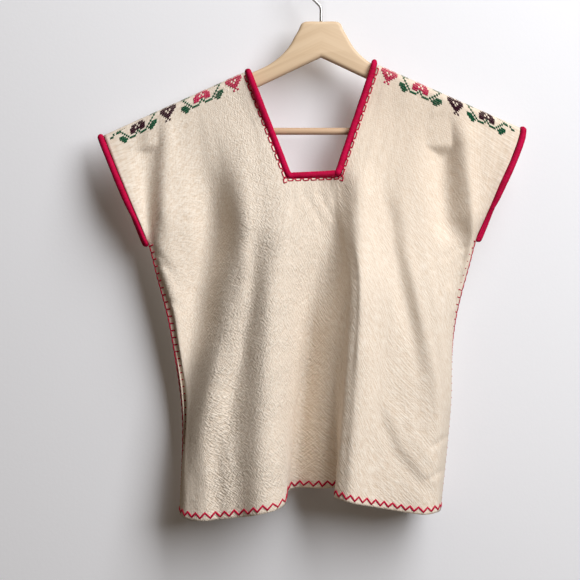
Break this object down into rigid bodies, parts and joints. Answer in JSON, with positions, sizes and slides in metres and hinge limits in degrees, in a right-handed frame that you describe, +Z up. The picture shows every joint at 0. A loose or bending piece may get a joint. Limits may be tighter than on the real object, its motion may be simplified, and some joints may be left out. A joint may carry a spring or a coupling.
{
  "type": "cross-stitch blouse",
  "caption": "Short straight-cut gauze blouse with a bound neck slit, open armholes and a cross-stitched shoulder band, hanging on a wooden clothes hanger.",
  "frame": {"origin": "inside top of the hanger's hook, the point that hangs on a rail", "axes": "+Z up along the hook, +X to the right seen from the front, the blouse's front faces -Y"},
  "size_m": [0.5706, 0.1092, 0.734],
  "materials": {
    "cloth": "cream crinkled cotton gauze",
    "binding": "crimson satin-stitched thread",
    "hanger_wood": "pale wood, clear satin",
    "hook_wire": "bright steel wire"
  },
  "bodies": {
    "root": {"front": "cloth", "back": "cloth", "neck_binding": "binding", "armhole_binding_left": "binding", "armhole_binding_right": "binding", "hanger_body": "hanger_wood", "hanger_bar": "hanger_wood", "hook": "hook_wire"}
  },
  "joints": []
}
